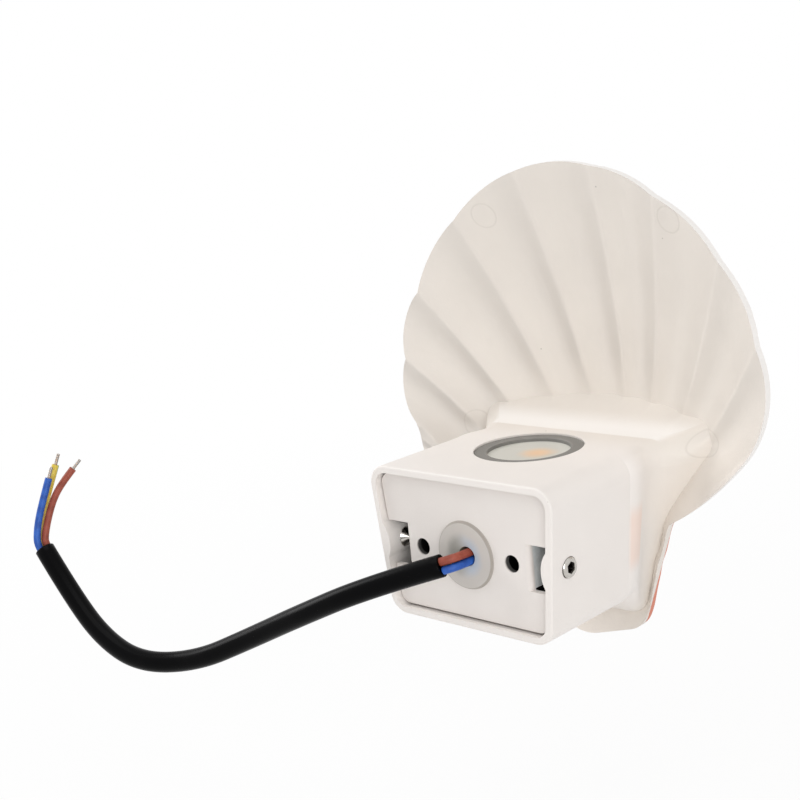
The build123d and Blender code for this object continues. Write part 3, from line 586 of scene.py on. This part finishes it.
# Lens ring
# A turned aluminium ring, dyed grey, that holds the lens down in the top of the box.
window_centre = (0, -0.026, 0)
ring_bore, ring_rim = 10.6, 13.4
dyed_ring = Paint("dyed_ring", IOR=1.5)
ring_at = dyed_ring.place(window_centre)
rx, ry, rz = dyed_ring.axes(ring_at)
ring_radius = (rx * rx + ry * ry) ** 0.5
turning = dyed_ring.node("ShaderNodeCombineXYZ", {}, {"X": ring_radius * 14, "Y": rz * 14})
turned = dyed_ring.noise(turning, 1.0, 3)
ring_cloud = dyed_ring.noise(ring_at, 3.0, 3)
ring_edge = ring_radius.near(ring_bore, 0.08, 0.25) + ring_radius.rise(ring_rim - 0.25, ring_rim)
dress("lens_ring", dyed_ring.finish(
    Base_Color=dyed_ring.mix(ring_edge * 0.5 + turned * 0.25, tone(124, 122, 118), tone(142, 140, 136)),
    Metallic=ring_edge * 0.1 + 0.2,
    Roughness=0.40 + turned * 0.16 + ring_cloud * 0.06,
    Normal=dyed_ring.relief(turned, 0.02),
))

# Lens
# A disc of frosted glass over the LED, held down by the ring. The phosphor under it shows as a soft orange
# patch.
glow_x, glow_y = -2.4, -0.4
frosted = Paint("frosted_glass", IOR=1.5, Specular_IOR_Level=0.5)
lens_at = frosted.place(window_centre)
lx, ly, _ = frosted.axes(lens_at)
lens_cloud = frosted.noise(lens_at, 2.5, 3)
lens_radius = (lx * lx + ly * ly) ** 0.5
from_glow = ((lx - glow_x) ** 2 + (ly - glow_y) ** 2) ** 0.5
glow = (from_glow + (lens_cloud - 0.5) * 1.6).rise(6.0, 0.6)
lens_colour = frosted.mix(lens_radius.rise(10.2, 6.0), tone(214, 213, 205), tone(205, 203, 195))
lens_colour = frosted.mix(glow, lens_colour, tone(232, 196, 158))
dress("lens", frosted.finish(
    Base_Color=lens_colour,
    Roughness=0.38 + lens_cloud * 0.12,
    Normal=frosted.relief(frosted.noise(lens_at, 0.12, 2), 0.012),
))

# Gaskets
# A punched washer of black silicone sponge between the lens and its ledge, and a punched frame of the same
# sponge under the inner cover.
sponge = Paint("black_sponge", IOR=1.45)
sponge_at = sponge.place()
cells = sponge.node(
    "ShaderNodeTexVoronoi", {}, {"Vector": sponge_at, "Scale": 4.0, "Randomness": 1.0}, "Distance"
)
sponge_coat = sponge.finish(
    Base_Color=sponge.mix(cells, tone(24, 24, 25), tone(46, 46, 47)),
    Roughness=0.72 + cells * 0.2,
    Normal=sponge.relief(cells, 0.06),
)
for gasket in ("lens_gasket", "cover_gasket"):
    dress(gasket, sponge_coat)

# Reflector
# A moulded cone, metallised bright inside, that throws the light up through the lens.
mirror = Paint("metallised_plastic", Metallic=1.0)
mirror_at = mirror.place(window_centre)
facets = mirror.noise(mirror_at, 0.7, 2)
dress("reflector", mirror.finish(
    Base_Color=mirror.mix(facets, tone(214, 216, 218), tone(236, 237, 238)),
    Roughness=0.12 + facets * 0.14,
    Normal=mirror.relief(facets, 0.03),
))

# LED board and emitter
# An aluminium-backed board under white solder resist with two solder lands, and the round yellow
# phosphor of the LED in its middle.
land_x, land_y = 6.0, 9.4
dam_radius = 5.0
board = Paint("board_resist", IOR=1.5)
board_at = board.place(window_centre)
ax, ay, _ = board.axes(board_at)
lands = abs(ax).near(land_x, 1.3, 0.1) * ay.near(land_y, 1.2, 0.1)
dam = ((ax * ax + ay * ay) ** 0.5).near(dam_radius, 0.35, 0.1)
board_grain = board.noise(board_at, 0.3, 3)
board_colour = board.mix(board_grain, tone(232, 233, 230), tone(240, 241, 239))
board_colour = board.mix(lands, board_colour, tone(190, 186, 176))
board_colour = board.mix(dam, board_colour, tone(246, 244, 236))
dress("led_board", board.finish(
    Base_Color=board_colour, Metallic=lands * 0.9, Roughness=0.30 + board_grain * 0.2,
    Normal=board.relief(board_grain + dam * 2, 0.02),
))
phosphor = Paint("phosphor", IOR=1.45)
phosphor_at = phosphor.place()
phosphor_grain = phosphor.noise(phosphor_at, 0.2, 4)
dress("led_emitter", phosphor.finish(
    Base_Color=phosphor.mix(phosphor_grain, tone(232, 176, 44), tone(246, 202, 84)),
    Roughness=0.34 + phosphor_grain * 0.2,
    Normal=phosphor.relief(phosphor_grain, 0.02),
))

# Thermal pad and heat sink
# A soft grey gap pad, and a sawn aluminium plate screwed to two rails of the casting.
pad = Paint("gap_pad", IOR=1.45)
pad_grain = pad.noise(pad.place(), 0.35, 4)
dress("thermal_pad", pad.finish(
    Base_Color=pad.mix(pad_grain, tone(122, 140, 152), tone(146, 162, 172)),
    Roughness=0.75 + pad_grain * 0.15, Normal=pad.relief(pad_grain, 0.04),
))
plate = Paint("mill_aluminium", Metallic=1.0)
plate_at = plate.place()
sawn = plate.node("ShaderNodeVectorMath", {"operation": "MULTIPLY"}, {0: plate_at, 1: (0.15, 6, 1)})
milled = plate.noise(sawn, 1.0, 3)
dress("heat_sink", plate.finish(
    Base_Color=plate.mix(milled, tone(186, 188, 190), tone(214, 216, 217)),
    Roughness=0.30 + milled * 0.2, Normal=plate.relief(milled, 0.02),
))

# Small screws
# Zinc-plated pan heads that hold the heat sink and the inner cover.
plated = Paint("zinc_plate", Metallic=1.0)
plated_at = plated.place()
plated_cloud = plated.noise(plated_at, 0.8, 4)
plated_coat = plated.finish(
    Base_Color=plated.mix(plated_cloud, tone(172, 174, 176), tone(206, 206, 202)),
    Roughness=0.24 + plated_cloud * 0.22, Normal=plated.relief(plated_cloud, 0.02),
)
for screws in ("sink_screws", "cover_screws"):
    dress(screws, plated_coat)

# Driver and its leads
# A small potted supply in a white moulded case, with a red and a black lead up to the board.
case = Paint("driver_plastic", IOR=1.48)
case_at = case.place()
spark = case.noise(case_at, 0.4, 3)
dress("driver_case", case.finish(
    Base_Color=case.mix(spark, tone(206, 205, 201), tone(220, 219, 215)),
    Roughness=0.48 + spark * 0.16, Normal=case.relief(spark, 0.04),
))
for lead, deep, bright in (
    ("lead_positive", (150, 26, 24), (178, 44, 38)), ("lead_negative", (22, 22, 23), (40, 40, 41))
):
    dress(lead, core_finish(lead + "_pvc", deep, bright))

# Inner cover
# A moulded black plate that closes the LED compartment, on a gasket and four screws.
cover = Paint("cover_plastic", IOR=1.48)
cover_at = cover.place()
cover_grain = cover.noise(cover_at, 0.35, 3)
cover_cloud = cover.noise(cover_at, 8.0, 2)
dress("inner_cover", cover.finish(
    Base_Color=cover.mix(cover_cloud, tone(24, 24, 25), tone(36, 36, 37)),
    Roughness=0.52 + cover_grain * 0.14, Normal=cover.relief(cover_grain, 0.05),
))

# Set screws
# Nickel-plated M5 hex-socket screws with a cone point, one in each side of the box; they bear on the
# bracket's tabs.
screw_axis = np.array([-0.0046, -0.0002])
screw_face = 0.0272
screw_radius = 0.00245
screw_length = 0.0050
thread_pitch = 0.0008
thread_depth = 0.00042
thread_start, lead_in, run_out = 0.0003, 0.0006, 0.0005
shank_start = 0.0004
point_start = 0.0030
socket_across = 0.0025
socket_rings = [(0.0029, 0.0), (0.0026, 0.96), (0.00015, 1.0), (0.0, 1.05)]
face_rings = [(0.0, 0.00195), (0.00002, 0.00208)]
point_rings = [(0.0040, 0.00145), (0.0049, 0.0006), (screw_length, 0.0005), (screw_length, 0.0)]


def threaded_screw(sign):
    """Screw as rows of rings along its axis, each at its depth below the face. The socket's rings are shares
    of a hexagon in polar form, the face's and the point's have a radius, and the shank's radius falls by the
    thread's depth in a clipped triangle wave of turn and distance."""
    turn = np.linspace(0, 1, 73)
    hexagon = socket_across / 2 / np.cos(np.radians(60) * ((6 * turn + 0.5) % 1 - 0.5))
    shank = np.linspace(shank_start, point_start, 60)
    wave = np.abs(2 * ((shank[:, None] / thread_pitch - sign * turn) % 1) - 1)
    fade = np.clip((shank - thread_start) / lead_in, 0, 1) * np.clip((point_start - shank) / run_out, 0, 1)
    thread = screw_radius - thread_depth * fade[:, None] * np.clip(1.25 * wave - 0.12, 0, 1)
    socket_depth, socket_share = np.transpose(socket_rings)
    face_depth, face_reach = np.transpose(face_rings)
    point_depth, point_reach = np.transpose(point_rings)
    even = np.ones_like(turn)
    reach = np.vstack([
        np.outer(socket_share, hexagon), np.outer(face_reach, even), thread, np.outer(point_reach, even)
    ])
    depth = np.r_[socket_depth, face_depth, shank, point_depth]
    angle = 2 * np.pi * turn
    rows = np.stack([
        np.broadcast_to(sign * (screw_face - depth)[:, None], reach.shape),
        screw_axis[0] + reach * np.cos(angle),
        screw_axis[1] + reach * np.sin(angle),
    ], -1)
    return rows, np.broadcast_to(turn, reach.shape), np.broadcast_to(depth[:, None], reach.shape)


nickel = Paint("nickel_plate", Metallic=1.0)
nickel_at = nickel.place((0, *screw_axis))
nx, ny, nz = nickel.axes(nickel_at)
nickel_radius = (ny * ny + nz * nz) ** 0.5
nickel_cloud = nickel.noise(nickel_at, 0.7, 4)
groove = nickel_radius.rise(2.36, 2.12) * abs(nx).near(25.5, 1.2, 0.2)
# Painted shade: the bottom of the hex socket is nearly black.
socket_painted_shade = nickel_radius.rise(1.5, 1.3) * abs(nx).rise(27.1, 26.4) * abs(nx).rise(23.8, 24.3)
nickel_colour = nickel.mix(nickel_cloud, tone(176, 172, 166), tone(214, 210, 204))
nickel_colour = nickel.mix(groove * 0.75, nickel_colour, tone(66, 62, 56))
nickel_colour = nickel.mix(socket_painted_shade, nickel_colour, tone(24, 20, 18))
nickel_coat = nickel.finish(
    Base_Color=nickel_colour,
    Roughness=0.14 + nickel_cloud * 0.14 + groove * 0.2 + socket_painted_shade * 0.3,
    Normal=nickel.relief(nickel_cloud, 0.015),
)
for screw, sign in (("left", 1), ("right", -1)):
    set_screw = grid_piece("threaded_" + screw, [threaded_screw(sign)])
    set_screw.data.set_sharp_from_angle(angle=np.radians(40))
    set_screw.data.materials.append(nickel_coat)
    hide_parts("set_screw_" + screw)
    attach(set_screw, "screw_" + screw)

# Floor and light
# A plain white table well under the light, an even white surround, and three large soft lamps round it.
floor_height = -0.075
floor_reach = 3
floor_corners = np.array([(-1, -1, 0), (1, -1, 0), (1, 1, 0), (-1, 1, 0)]) * floor_reach
floor_corners = floor_corners + (0, 0, floor_height)
floor_mesh = bpy.data.meshes.new("floor")
floor_mesh.from_pydata(floor_corners, [], [(0, 1, 2, 3)])
floor = bpy.data.objects.new("floor", floor_mesh)
bpy.context.scene.collection.objects.link(floor)


def looked_at(paint):
    """1 for a ray from the camera, also by way of metal or glass, and 0 for one that lights something."""
    seen = paint.node("ShaderNodeLightPath", {}, {}, "Is Camera Ray")
    paths = seen.socket.node.outputs
    for path in ("Is Glossy Ray", "Is Transmission Ray"):
        seen = seen.maths("MAXIMUM", seen, Field(paint, paths[path]))
    return seen


table = Paint("white_table", Base_Color=(0.86, 0.86, 0.86, 1), Roughness=0.9)
lit_white = table.node("ShaderNodeEmission", {}, {"Color": (1, 1, 1, 1), "Strength": 1.0})
table_x, table_y, _ = table.axes(table.place())
away = ((table_x * table_x + table_y * table_y) ** 0.5).rise(120, 520)
pale = table.node("ShaderNodeMixShader", {}, {
    0: looked_at(table) * (0.93 + away * 0.07), 1: Field(table, table.surface.outputs[0]), 2: lit_white,
})
table.feed(table.tree.nodes["Material Output"].inputs["Surface"], pale)
floor_mesh.materials.append(table.owner)

surround = bpy.context.scene.world or bpy.data.worlds.new("surround")
bpy.context.scene.world = surround
air = Paint("surround", surround, Color=(1, 1, 1, 1))
air_light = 0.51
air.finish(Strength=air_light + looked_at(air) * (1 - air_light))

lamp_aim = Vector((0.02, -0.03, 0.02))
for lamp, lamp_place, size, watts in (
    ("lamp_over", (0.05, 0.15, 0.95), 0.8, 2.6),
    ("lamp_left", (0.88, 0.27, 0.48), 0.5, 3.7),
    ("lamp_right", (-0.80, 0.56, 0.18), 0.5, 3.5),
):
    light = bpy.data.lights.new(lamp, "AREA")
    light.size = size
    light.energy = watts
    holder = bpy.data.objects.new(lamp, light)
    aim = (lamp_aim - Vector(lamp_place)).to_track_quat("-Z", "Y")
    holder.matrix_world = Matrix.Translation(lamp_place) @ aim.to_matrix().to_4x4()
    bpy.context.scene.collection.objects.link(holder)

bpy.context.scene.view_settings.view_transform = "Standard"
